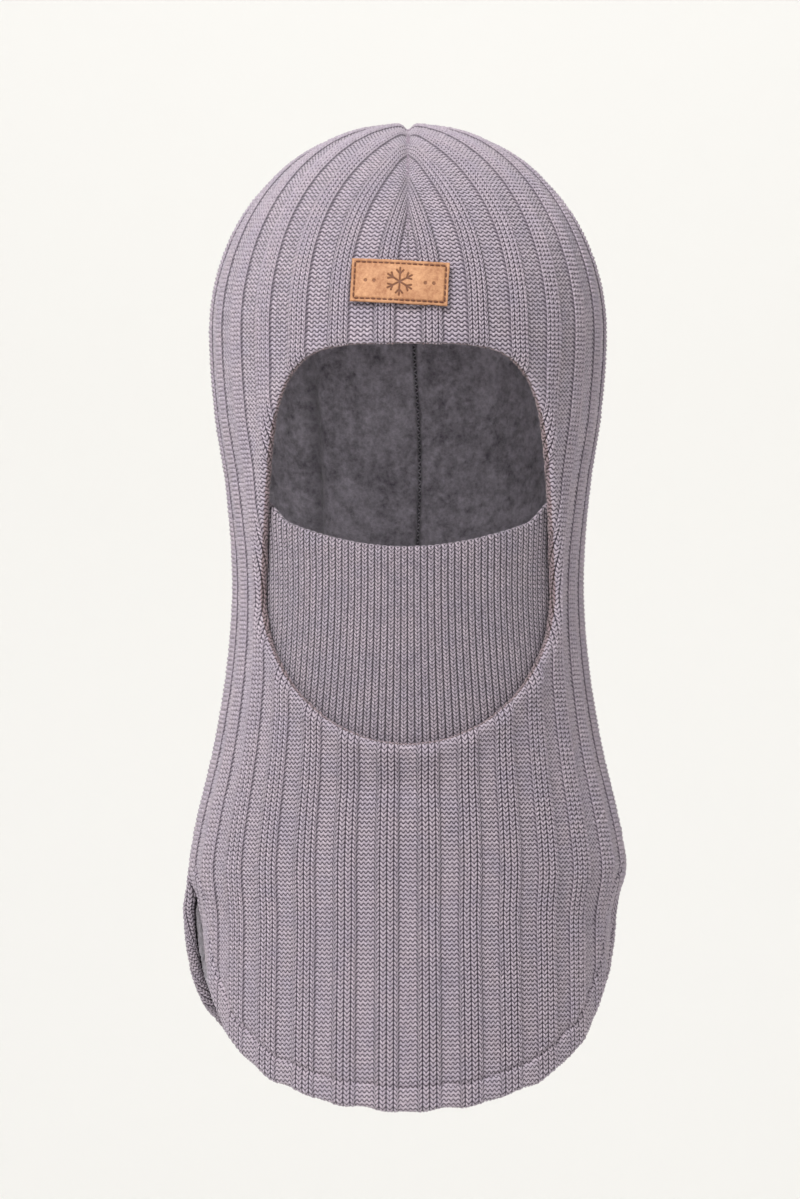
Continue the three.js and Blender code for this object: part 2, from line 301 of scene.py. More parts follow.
RIBS = 28
WALES_IN_RIB = 8                  # four knit, four purl
SIDE_WALES = RIBS * WALES_IN_RIB // 2
COURSE = 0.00192
PER_COURSE = 4                    # mesh points
PER_RIB = 48
RIB_DEPTH, LOOP_DEPTH = 0.0011, 0.00115
GROUND = -0.0013                  # the bottom of the stitches, from the form
KNIT_EDGE = (1.92, 2.12)          # in wales from the middle of a rib's knit part
LEG_MIDDLE, LEG_REACH, LEG_SLANT = 0.43, 0.53, 0.85
BAR_WAVE = 0.24                   # how far purl bars arch, in courses
SEAM_SUNK, SEAM_ALLOWANCE = 0.0022, 0.003
LONGEST_FACE = 0.004              # longer ones would bridge two parts of a fold
BIB_ROUND, BIB_REACH = SLIT_TOP - 0.014, math.radians(81)
HEM_ROLL, HEM_WIDTH = 0.0021, 0.010
SLIT_PART = 0.05                  # down to here below BIB_ROUND the bibs have narrow hems
NARROW_HEM = 0.002
GRID_FOOT = -0.348                # the grid runs past the hem, and is folded back there
HOLE_TOP, HOLE_MIDDLE, HOLE_BOTTOM = -0.002, -0.106, -0.1707
HOLE_HALF_WIDTH, HOLE_TAPER, HOLE_TOP_ROUNDING = 0.0632, 0.07, 4.8
HOLE_ROLL, HOLE_TURNED = 0.0019, 0.0075
HOLE_REACH, HEM_REACH = 0.03, 0.025    # points farther than this from an edge aren't moved by it
OUTLINE_STEP = 0.0006
CROWN_SEAM_START, CROWN_SEAM_SPAN = math.radians(20), math.radians(145)


def unit(vectors):
    """Vectors of any shape, each brought to a length of 1."""
    return vectors / np.maximum(np.linalg.norm(vectors, axis=-1, keepdims=True), 1e-12)


def grid_normals(points):
    """Outward normals of a grid of points, rows going down and columns going to +X from the front."""
    down = np.gradient(points, axis=0)
    across = np.gradient(points, axis=1)
    return unit(np.cross(down, across))


def ripple(a, b, seed, scale_a, scale_b):
    """Smooth wandering between -1 and 1, the same on every run."""
    rng = np.random.default_rng(seed)
    total = 0
    for _ in range(5):
        pa, pb = rng.uniform(0, 2 * math.pi, 2)
        fa, fb = rng.normal(0, 1, 2)
        total = total + np.sin(a / scale_a * fa + b / scale_b * fb + pa + pb)
    return total / 3.2


def chance(a, b, seed):
    """A value from 0 to 1 for each pair of whole numbers, the same on every run."""
    mixed = (a.astype(np.int64) * 73856093) ^ (b.astype(np.int64) * 19349663) ^ (seed * 83492791)
    mixed = (mixed ^ (mixed >> 13)) * 1274126177
    return ((mixed ^ (mixed >> 16)) & 0xFFFF) / 65535.0


def add_piece(name, points, faces, normals, stitches=None, bake=None, relief=None):
    """A mesh object from arrays. Points that no face uses are left out."""
    used = np.unique(faces)
    index = np.full(len(points), -1)
    index[used] = np.arange(len(used))
    faces = index[faces]
    mesh = bpy.data.meshes.new(name)
    mesh.vertices.add(len(used))
    mesh.vertices.foreach_set("co", points[used].astype(np.float32).ravel())
    corners = faces.shape[1]
    mesh.loops.add(faces.size)
    mesh.loops.foreach_set("vertex_index", faces.astype(np.int32).ravel())
    mesh.polygons.add(len(faces))
    mesh.polygons.foreach_set("loop_start", np.arange(0, faces.size, corners, dtype=np.int32))
    mesh.update(calc_edges=True)
    mesh.shade_smooth()
    for layer, values in (("OFBake", bake), ("stitches", stitches)):
        if values is not None:
            uv = mesh.uv_layers.new(name=layer)
            uv.data.foreach_set("uv", values[used][faces.ravel()].astype(np.float32).ravel())
    if relief is not None:
        data = mesh.attributes.new("relief", "FLOAT", "POINT").data
        data.foreach_set("value", relief[used].astype(np.float32))
    if normals is not None:
        mesh.normals_split_custom_set_from_vertices(normals[used].astype(np.float32))
    piece = bpy.data.objects.new(name, mesh)
    bpy.context.scene.collection.objects.link(piece)
    return piece


def grid_faces(rows, columns):
    """Quads of a grid of points, wound to face outwards when rows go down."""
    a = np.arange(rows - 1)[:, None] * columns + np.arange(columns - 1)[None, :]
    return np.stack([a, a + columns, a + columns + 1, a + 1], -1).reshape(-1, 4)


def unit_square(rows, columns):
    """A UV place for each point of a grid, spread over the unit square."""
    v, u = np.meshgrid(np.linspace(0.99, 0.01, rows), np.linspace(0.01, 0.99, columns), indexing="ij")
    return np.stack([u, v], -1).reshape(-1, 2)


def knit_share(level):
    """How much of a rib's width the knit wales take: less where the head stretches the ribs."""
    return 0.55 - 0.11 * smooth(level, -0.16, 0.0) + 0.03 * smooth(level, 0.02, 0.09)


# The wale number and the place across a rib, from its purl middle to the next one's. The outer
# legs of the knit wales turn down the rib's sides, so they take little of its width.
WALE_STOPS = np.array([0, 2, 2.5, 3, 4, 5, 5.5, 6, 8])
KNIT_STOPS = np.array([0, 0, 0.06, 0.20, 0.50, 0.80, 0.94, 1, 1])
RIB_WALES = np.concatenate([np.linspace(0, 2, 9)[:-1], np.linspace(2, 2.5, 5)[:-1],
                            np.linspace(2.5, 5.5, 25)[:-1], np.linspace(5.5, 6, 5)[:-1],
                            np.linspace(6, 8, 9)[:-1]])


def rib_place(wale, share):
    """Where a wale lies along its ring, in ribs from the front middle, which is a purl channel."""
    rib = np.floor(wale / WALES_IN_RIB)
    w = wale - rib * WALES_IN_RIB
    knit = np.interp(w, WALE_STOPS, KNIT_STOPS)
    purl = np.interp(w, [0, 2, 6, 8], [0, 0.5, 0.5, 1])
    return rib + knit * share + purl * (1 - share)


def ring_turns(level, place):
    """Angles from the front at which places (0 to 1 along the half ring by length) lie."""
    angles = np.linspace(0, math.pi, 241)
    turns = np.empty(place.shape)
    for i, z in enumerate(level):
        ring = form(angles, z)
        steps = np.linalg.norm(np.diff(ring, axis=0), axis=1)
        length = np.concatenate([[0], np.cumsum(steps)])
        turns[i] = np.interp(place[i] * length[-1], length, angles)
    return turns


def knit_relief(wale, course, level, flat, seed):
    """Height of the knit above its ground in metres, and how far up in the yarn a point is, which the
    materials paint as shade where it is low; it is lowered further as painted shade in stretched purl
    channels and at the foot of each rib's side.
    flat is 1 where the ribs are pressed flat, as at a turned edge."""
    off = np.abs(wale % WALES_IN_RIB - WALES_IN_RIB / 2)
    knit = 1 - smooth(off, *KNIT_EDGE)
    stretched = smooth(level, -0.05, 0.01)
    across = wale % 1
    half = np.abs(across - 0.5) * 2
    leg = np.clip(1 - ((half - LEG_MIDDLE) / LEG_REACH) ** 2, 0, 1) ** 0.6
    phase = course - LEG_SLANT * half
    loop = np.sin(math.pi * (phase % 1)) ** 1.2
    thick = 0.82 + 0.30 * chance(np.floor(wale * 2), np.floor(phase), seed)
    vees = leg * (0.02 + 0.98 * loop) * thick + 0.06
    phase = course + BAR_WAVE * np.cos(2 * math.pi * across)
    bar = np.sin(math.pi * (phase % 1)) ** 1.3
    thick = 0.84 + 0.32 * chance(np.floor(wale), np.floor(phase), seed + 1)
    pinch = 0.78 + 0.22 * np.cos(4 * math.pi * across)
    pinch = pinch - 0.11 * stretched * (1 - np.cos(2 * math.pi * across))
    bars = (0.10 + 0.90 * bar) * thick * pinch
    rounded = np.clip(1 - (off / 2.35) ** 4, 0, 1) ** 0.75
    tall = (RIB_DEPTH - 0.0002 * smooth(level, -0.12, 0.0)) * (1 - 0.85 * flat)
    loops = LOOP_DEPTH * (knit * vees + (1 - knit) * bars) * (1 - 0.3 * flat)
    # Painted shade: stretched purl channels a little darker, and a dark line where each rib's side
    # meets its channel.
    shade = knit * vees + (1 - knit) * bars * (0.98 - 0.10 * stretched)
    corner = np.exp(-((off - KNIT_EDGE[1]) / 0.22) ** 2) * (1 - flat)
    return tall * rounded + loops + GROUND, np.clip(shade * (1 - 0.35 * corner), 0, 1)


def hole_point(angle):
    """A point of the face opening's outline, on the outside of the form."""
    across, up = np.cos(angle), np.sin(angle)
    power = np.where(up > 0, 2 / HOLE_TOP_ROUNDING, 1.0)
    rise = np.sign(up) * np.abs(up) ** power
    half = HOLE_HALF_WIDTH * (1 - HOLE_TAPER * np.maximum(rise, 0))
    x = half * np.sign(across) * np.abs(across) ** power
    height = np.where(up > 0, HOLE_TOP - HOLE_MIDDLE, HOLE_MIDDLE - HOLE_BOTTOM)
    z = HOLE_MIDDLE + rise * height
    side = body_size(z, 1)
    return form(np.arcsin(np.clip(x / side, -1, 1)), z)


def bib_edge(turn, lowest):
    """The lower edge of a bib at angles from its own middle: half an ellipse as it lies round the
    body, then a straight slit edge up to the slit's top."""
    share = np.abs(turn) / BIB_REACH
    round_part = BIB_ROUND - (BIB_ROUND - lowest) * np.sqrt(np.clip(1 - share ** 2, 0, 1))
    slit = BIB_ROUND + (SLIT_TOP - BIB_ROUND) * (np.abs(turn) - BIB_REACH) / (math.pi / 2 - BIB_REACH)
    return np.where(share < 1, round_part, slit)


def hem_points():
    """The edge of both bibs and both slits as one closed line round the body, a little wavy."""
    half = np.linspace(-math.pi / 2, math.pi / 2, 1201)[:-1]
    turn = np.concatenate([half, half + math.pi])
    level = np.concatenate([bib_edge(half, HEM_LEVEL), bib_edge(half, BACK_HEM_LEVEL)])
    line = form(turn, level)
    steps = np.linalg.norm(np.diff(np.concatenate([line, line[:1]]), axis=0), axis=1)
    at = np.cumsum(steps)
    even = np.linspace(0, at[-1], 2400, endpoint=False)
    turn = np.interp(even, at, np.concatenate([half, half + math.pi]))
    level = np.interp(even, at, level)
    for _ in range(3):
        level = sum(np.roll(level, k) for k in (2, 1, 0, -1, -2)) / 5
    around = even / at[-1] * 2 * math.pi
    wave = 0.0004 * np.sin(23 * around) + 0.0003 * np.sin(41 * around)
    low = smooth(-level, -BIB_ROUND, -BIB_ROUND + 0.04)
    room_for_roll = 0.0018
    return form(turn, level + (wave + room_for_roll) * low)


class Outline:
    """A line on the form, as evenly spaced points with directions: along it, out of the form, and
    across towards the side that is cut away."""

    def __init__(self, rough_points, cut_away):
        rough_points = np.concatenate([rough_points, rough_points[:1]])
        steps = np.linalg.norm(np.diff(rough_points, axis=0), axis=1)
        length = np.concatenate([[0], np.cumsum(steps)])
        count = int(length[-1] / OUTLINE_STEP)
        at = np.linspace(0, length[-1], count)
        self.points = np.stack([np.interp(at, length, rough_points[:, k]) for k in range(3)], -1)
        self.points = self.points[:-1]
        wrapped = np.concatenate([self.points[-2:], self.points, self.points[:2]])
        self.along = unit(wrapped[4:] - wrapped[:-4])
        self.out = form_normal(self.points)
        self.across = unit(np.cross(self.out, self.along))
        if np.sum(self.across * cut_away(self.points)) < 0:
            self.across = -self.across
        self.tree = KDTree(len(self.points))
        for i, point in enumerate(self.points):
            self.tree.insert(point, i)
        self.tree.balance()

    def measure(self, points, reach):
        """For points within reach: the nearest outline point, and how far past it they are."""
        nearest = np.full(len(points), -1)
        low, high = self.points.min(0) - reach, self.points.max(0) + reach
        for i in np.flatnonzero(np.all((points > low) & (points < high), axis=1)):
            nearest[i] = self.tree.find(points[i])[1]
        near = nearest >= 0
        past = np.full(len(points), -1.0)
        offset = points[near] - self.points[nearest[near]]
        past[near] = np.sum(offset * self.across[nearest[near]], -1)
        gap = np.linalg.norm(offset, axis=1)
        past[near] = np.where(gap > reach, np.sign(past[near]) * gap, past[near])
        return nearest, past

    def fold(self, points, normals, reach, roll):
        """Turns what lies past the outline round a roll and back inside. Returns the points,
        their normals and how far past the start of the roll each one is."""
        nearest, past = self.measure(points, reach)
        travel = past + roll
        turned = (travel > 0) & (nearest >= 0)
        k = nearest[turned]
        s = travel[turned]
        angle = np.clip(s / roll, 0, math.pi)
        offset = points[turned] - self.points[k]
        slide = np.sum(offset * self.along[k], -1)
        out, across = self.out[k], self.across[k]
        flat = np.maximum(s - math.pi * roll, 0)
        place = (self.points[k] + self.along[k] * slide[:, None]
                 + across * (roll * (np.sin(angle) - 1) - flat)[:, None]
                 - out * (roll * (1 - np.cos(angle)))[:, None])
        points, normals = points.copy(), normals.copy()
        points[turned] = place
        normals[turned] = out * np.cos(angle)[:, None] + across * np.sin(angle)[:, None]
        return points, normals, np.where(nearest >= 0, travel, -1.0)


def form_out(turn, level):
    """Outward normals of the form at angles and levels."""
    step = 1e-4
    around = form(turn + step, level) - form(turn - step, level)
    down = form(turn, level - step) - form(turn, level + step)
    return unit(np.cross(down, around))


def form_normal(points):
    """Outward normals of the form at points on it."""
    below = np.minimum(points[:, 2], CROWN_BASE)
    turn = np.arctan2(points[:, 0] / body_size(below, 1), -points[:, 1] / body_size(below, 3))
    return form_out(turn, points[:, 2])


def crown_path(turn):
    """The wales' lines over the crown: each leaves its place on the brow straight up, and leans
    over to meet the middle seam. Returns points on the dome at even steps along each line."""
    seam = CROWN_SEAM_START + CROWN_SEAM_SPAN * (turn / math.pi) ** 0.56
    start = np.stack([np.sin(turn), -np.cos(turn), 0 * turn], -1)
    end = np.stack([0 * turn, -np.cos(seam), np.sin(seam)], -1)
    cosine = np.clip(np.sum(start * end, -1), -1, 1)
    arc = np.arccos(cosine)[None, :, None]
    s = np.linspace(0, 1, 121)[:, None, None]
    slant = (np.sin((1 - s) * arc) * start + np.sin(s * arc) * end) / np.sin(arc)
    straight = start * np.cos(s * arc) + np.array([0, 0, 1.0]) * np.sin(s * arc)
    lean = smooth(s, 0.12, 1.0)
    line = unit(straight * (1 - lean) + slant * lean)
    depth = np.where(line[..., 1:2] < 0, HEAD_FRONT_DEPTH, HEAD_BACK_DEPTH)
    side, rise = np.full_like(depth, HEAD_HALF_WIDTH), np.full_like(depth, CROWN_RISE)
    sizes = np.concatenate([side, depth, rise], -1)
    return line * sizes + np.array([0, 0, CROWN_BASE])


def hood_grid(side):
    """One side of the hood: points, normals, wale and course numbers, how far past the middle
    seam each point is, and the row of the slits' tops."""
    wale = (RIB_WALES[None, :] + WALES_IN_RIB * np.arange(RIBS // 2)[:, None]).ravel()
    wale = np.append(wale, SIDE_WALES)
    columns = len(wale)
    step = COURSE / PER_COURSE

    # Below the brow each column follows its place on the rings.
    hood_rows = int(round((CROWN_BASE - SLIT_TOP) / step))
    level = np.linspace(CROWN_BASE, SLIT_TOP, hood_rows + 1)
    level = np.concatenate([level, np.arange(SLIT_TOP - step, GRID_FOOT, -step)])
    share = knit_share(level)[:, None]
    place = rib_place(wale[None, :], share) / (RIBS / 2)
    sway = 0.0022 * ripple(wale[None, :] / 8, level[:, None], 3 + (side > 0), 2.5, 0.035)
    place = place + sway * np.sin(math.pi * place) * smooth(-level[:, None], -CROWN_BASE, 0.03)
    turn = ring_turns(level, place)
    body = form(side * turn, level[:, None]) * np.array([side, 1.0, 1.0])

    # Above it each column follows its own line over the crown, and on past the seam.
    lines = crown_path(np.clip(turn[0], 1e-4, math.pi - 1e-4))
    steps = np.linalg.norm(np.diff(lines, axis=0), axis=-1)
    length = np.concatenate([np.zeros((1, columns)), np.cumsum(steps, axis=0)])
    crown_rows = math.ceil((length[-1].max() + 0.004) / step)
    reach = np.arange(1, crown_rows + 1) * step
    crown = np.empty((crown_rows, columns, 3))
    for j in range(columns):
        for k in range(3):
            crown[:, j, k] = np.interp(reach, length[:, j], lines[:, j, k])
    past_seam = reach[:, None] - length[-1][None, :]

    points = np.concatenate([crown[::-1], body])
    past = np.concatenate([past_seam[::-1], np.full(body.shape[:2], -1.0)])
    course = (np.arange(len(points))[::-1] / PER_COURSE)[:, None] + 0 * wale[None, :]
    wale = wale[None, :] + 0 * course
    points[..., 0] *= side
    normals = grid_normals(points) * side
    dome = points[:crown_rows]
    depth = np.where(dome[..., 1] < 0, HEAD_FRONT_DEPTH, HEAD_BACK_DEPTH)
    normals[:crown_rows] = unit(np.stack([
        dome[..., 0] / HEAD_HALF_WIDTH ** 2,
        dome[..., 1] / depth ** 2,
        (dome[..., 2] - CROWN_BASE) / CROWN_RISE ** 2,
    ], -1))
    return points, normals, wale, course, past, crown_rows + hood_rows


def knit_material(name, gap, painted_shade_tint):
    """Heather wool: fibres of a few greys and mauves mixed through the yarn, with painted shade in the
    gaps between the loops and down the purl channels.
    The last colour, multiplied over all of it, is painted shade that darkens and browns the side that
    is turned in."""
    material, start = new_material(name)
    relief = start.attribute("relief")
    stitches = start.place("stitches")
    wale, course = stitches.part(0), stitches.part(1)
    across = wale % 1
    half = abs(across - 0.5) * 2
    leg = (half - LEG_MIDDLE) / LEG_REACH
    leg = leg.math("MAXIMUM", 1 - leg * leg, 0.0)
    vees = leg * (course - half * LEG_SLANT).strand()
    arch = across.math("COSINE", across * (2 * math.pi))
    bars = (arch * BAR_WAVE + course).strand()
    off = abs(wale % WALES_IN_RIB - WALES_IN_RIB / 2)
    knit = 1 - off.level(*KNIT_EDGE)
    # Painted shade: low where the loops part, and lower still in the purl channels.
    painted_loop_shade = knit * vees + (1 - knit) * bars * 0.85
    plies = start.noise(start.place("stitches", (3.0, 1.6, 1)), 2.2, 3.0, 0.65)
    flecks = start.noise(start.place(), 900.0, 3.0, 0.7)
    clouds = start.noise(start.place(), 95.0, 2.0, 0.5)
    tone = (plies * 0.45 + flecks * 0.55).level(0.30, 0.72)
    yarn = tone.mix(rgb(148, 134, 146), rgb(236, 221, 232))
    yarn = clouds.level(0.35, 0.7).mix(yarn, tone.mix(rgb(138, 126, 141), rgb(226, 213, 228)))
    # Painted shade: the gap colour where the yarn lies low and between the loops.
    colour = (relief.level(0.08, 0.45) * painted_loop_shade.level(0.12, 0.50)).mix(gap, yarn)
    # Painted shade: this last colour darkens and browns the side that is turned in under the opening's
    # rolled edge.
    colour = start.node("ShaderNodeMix", {"data_type": "RGBA", "blend_type": "MULTIPLY"},
                        {0: 1.0, 6: colour, 7: painted_shade_tint}, 2)
    fuzz = start.noise(stitches, 9.0, 4.0, 0.7)
    start.finish(colour, 0.92, plies * 0.5 + fuzz * 0.5, 0.0007,
                 **{"Sheen Weight": 0.25, "Sheen Roughness": 0.5})
    return material


# Painted shade: the gap colours are shade between the loops, and the turned side's last colour darkens
# and browns all of it.
rib_knit = knit_material("rib_knit", gap=rgb(66, 56, 68), painted_shade_tint=(1, 1, 1, 1))
shaded_turned_knit = knit_material("rib_knit_turned_painted_shade", gap=rgb(60, 46, 44), painted_shade_tint=(0.62, 0.53, 0.50, 1))
hole = Outline(hole_point(np.linspace(0, 2 * math.pi, 2400, endpoint=False)),
               lambda points: np.array([0, -0.09, HOLE_MIDDLE]) - points)
hem = Outline(hem_points(), lambda points: np.array([0, 0, -1.0]) + 0 * points)
STRIPS = [(0, 3), (3, 5), (5, 7), (7, 9), (9, 11), (11, 13), (13, 14)]    # ribs, front to back


def dress(piece, body, node, material):
    """Gives a piece its material, hides the CAD part of the node it stands for, and, where a body is
    named, attaches it to that body."""
    piece.data.materials.append(material)
    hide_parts(node)
    if body:
        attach(piece, body)


def wound(faces, side):
    """Faces turned over where side is -1."""
    return faces if side > 0 else faces[:, ::-1]


def bend(piece):
    """Bakes the place of a bib's piece, which runs down from the slits' tops, into its points. No body
    carries it.
    """
    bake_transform(piece)


def add_knit():
    for name, side in (("left", -1), ("right", 1)):
        base, normals, wale, course, past, slit_row = hood_grid(side)
        course = course + 0.12 * ripple(wale, course, 26 + side, 9, 14) + 40
        rows, columns = wale.shape
        x, y, z = base[..., 0], base[..., 1], base[..., 2]
        base_points = base.reshape(-1, 3)
        points, turned_normals, travel = hole.fold(
            base_points, normals.reshape(-1, 3), HOLE_REACH, HOLE_ROLL)
        edge = hem.measure(points, HEM_REACH)[1]
        points, turned_normals, hem_travel = hem.fold(points, turned_normals, HEM_REACH, HEM_ROLL)

        # The hem is pressed flat below its line of stitches, which pulls in a groove.
        band = smooth(edge, -HEM_WIDTH - 0.0006, -HEM_WIDTH + 0.0014) * (edge > -0.5)
        groove = np.exp(-((edge + HEM_WIDTH) / 0.0011) ** 2)
        lift = (0.0007 * band - 0.0011 * groove).reshape(rows, columns)
        pressed = np.maximum(smooth(travel, -0.003, HOLE_ROLL), smooth(hem_travel, -0.004, HEM_ROLL))
        pressed = np.maximum(pressed, 0.85 * band).reshape(rows, columns)

        # Wear: uneven cloth, a dent across the chin below the opening, and a fuller opening edge.
        wear = 0.0006 * ripple(wale, course, 11, 14, 22)
        dent = 0.0022 * np.exp(-((x + 0.004) / 0.028) ** 2 - ((z + 0.188) / 0.0075) ** 2) * (y < 0)
        swell = 0.0010 * np.exp(-(travel.reshape(rows, columns) / 0.006) ** 2)
        wear = wear - dent + swell

        ditch = np.exp(-(x / 0.0022) ** 2) * np.where((z > 0.045) | (y > 0), 1.0, 0.0)
        turned_normals = turned_normals.reshape(base.shape)
        points = points.reshape(base.shape) + turned_normals * (wear + lift)[..., None]
        height, relief = knit_relief(wale, course, points[..., 2], pressed, 21 + side)
        height = height * (1 - 0.55 * ditch) - SEAM_SUNK * ditch
        points = points + turned_normals * height[..., None]
        points = points - normals * np.clip(past, 0, SEAM_ALLOWANCE)[..., None]
        shading = grid_normals(points) * side
        shading[past > 0] = normals[past > 0]

        faces = grid_faces(rows, columns)
        flat = points.reshape(-1, 3)
        longest = np.linalg.norm(flat[faces[:, 0]] - flat[faces[:, 2]], axis=1)
        beside_slit = base_points[faces[:, 0], 2] > BIB_ROUND - SLIT_PART
        turn_in = np.where(beside_slit, NARROW_HEM, HEM_WIDTH - 0.002)
        keep = (past.ravel()[faces].min(1) < SEAM_ALLOWANCE) & (longest < LONGEST_FACE)
        keep &= travel[faces].max(1) < math.pi * HOLE_ROLL + HOLE_TURNED
        keep &= hem_travel[faces].max(1) < math.pi * HEM_ROLL + turn_in
        turned = travel[faces].min(1) > HOLE_ROLL * 0.85
        hemmed = edge[faces].max(1) > -HEM_WIDTH
        column_of = faces[:, 0] % columns
        bib = faces[:, 0] // columns >= slit_row
        to_front = base_points[faces, 1].mean(1) < 0
        stitches = np.stack([wale.ravel(), course.ravel()], -1)
        bake = unit_square(rows, columns)

        def cut(label, chosen):
            return add_piece(label, flat, wound(faces[keep & chosen], side), shading.reshape(-1, 3),
                             stitches, bake, relief.ravel())

        for first, last in STRIPS:
            inside = (column_of >= first * PER_RIB) & (column_of < last * PER_RIB)
            piece = cut(f"hood_knit_{name}_{first}", inside & ~turned & ~bib)
            dress(piece, "hood", "hood_shell", rib_knit)
        piece = cut(f"opening_edge_{name}", turned & ~bib)
        dress(piece, "hood", "face_edge", shaded_turned_knit)
        for body, own in (("front_bib", to_front), ("back_bib", ~to_front)):
            piece = cut(f"{body}_knit_{name}", bib & own & ~hemmed)
            dress(piece, None, f"{body}_shell", rib_knit)
            bend(piece)
            piece = cut(f"{body}_turned_hem_{name}", bib & own & hemmed)
            dress(piece, None, f"{body}_hem", rib_knit)
            bend(piece)


add_knit()

# ---------------------------------------------------------------------------------------------
# Mask: a finer 1x1 rib knit, folded double at its upper edge. It lies behind the lower half of
# the face opening and is sewn in along its sides and bottom, so the folded edge can be pulled.

MASK_EDGE, MASK_RISE, MASK_FOOT = -0.088, 0.014, -0.182
MASK_REACH = math.radians(80)     # from the front middle to each side's sewn edge
MASK_INSET, MASK_FOLD = 0.0050, 0.0012
MASK_SEWN = 0.0114                # how far behind the edge of the opening it is cut off
MASK_RIBS, MASK_COURSE = 62, 0.0018
MASK_RIB_DEPTH, MASK_LOOP_DEPTH, MASK_GROUND = 0.0005, 0.00045, -0.0006
GROOVE = 0.84                     # where the purl groove starts, in half ribs
MASK_SLANT = 0.8


def mask_material():
    """The hood's wool in a thinner yarn, with colours darker than the hood's as painted shade, for the
    shadow the mask lies in behind the opening's edge.
    """
    material, start = new_material("fine_rib")
    relief = start.attribute("relief")
    stitches = start.place("stitches")
    rib, course = stitches.part(0) * 0.5, stitches.part(1)
    off = abs(rib % 1 - 0.5) * 2
    half = off / GROOVE
    leg = (half - 0.5) / 0.55
    leg = leg.math("MAXIMUM", 1 - leg * leg, 0.0)
    vees = leg * (course - half * MASK_SLANT).strand()
    painted_loop_shade = vees + off.level(0.70, 1.0) * 0.30 * course.strand()
    plies = start.noise(start.place("stitches", (3.0, 1.4, 1)), 2.0, 3.0, 0.65)
    flecks = start.noise(start.place(), 1100.0, 3.0, 0.7)
    clouds = start.noise(start.place(), 110.0, 2.0, 0.5)
    tone = (plies * 0.4 + flecks * 0.6).level(0.34, 0.66)
    # Painted shade: these yarn colours are darkened for the shadow behind the opening's edge.
    yarn = tone.mix(rgb(98, 86, 97), rgb(226, 211, 222))
    yarn = clouds.level(0.35, 0.7).mix(yarn, tone.mix(rgb(90, 80, 93), rgb(210, 198, 212)))
    # Painted shade: the dark colour where the yarn lies low and in the purl grooves.
    colour = (relief.level(-0.06, 0.50) * painted_loop_shade.level(0.12, 0.48)).mix(rgb(46, 39, 48), yarn)
    fuzz = start.noise(stitches, 8.0, 4.0, 0.7)
    start.finish(colour, 0.92, plies * 0.5 + fuzz * 0.5, 0.0005,
                 **{"Sheen Weight": 0.2, "Sheen Roughness": 0.5})
    return material


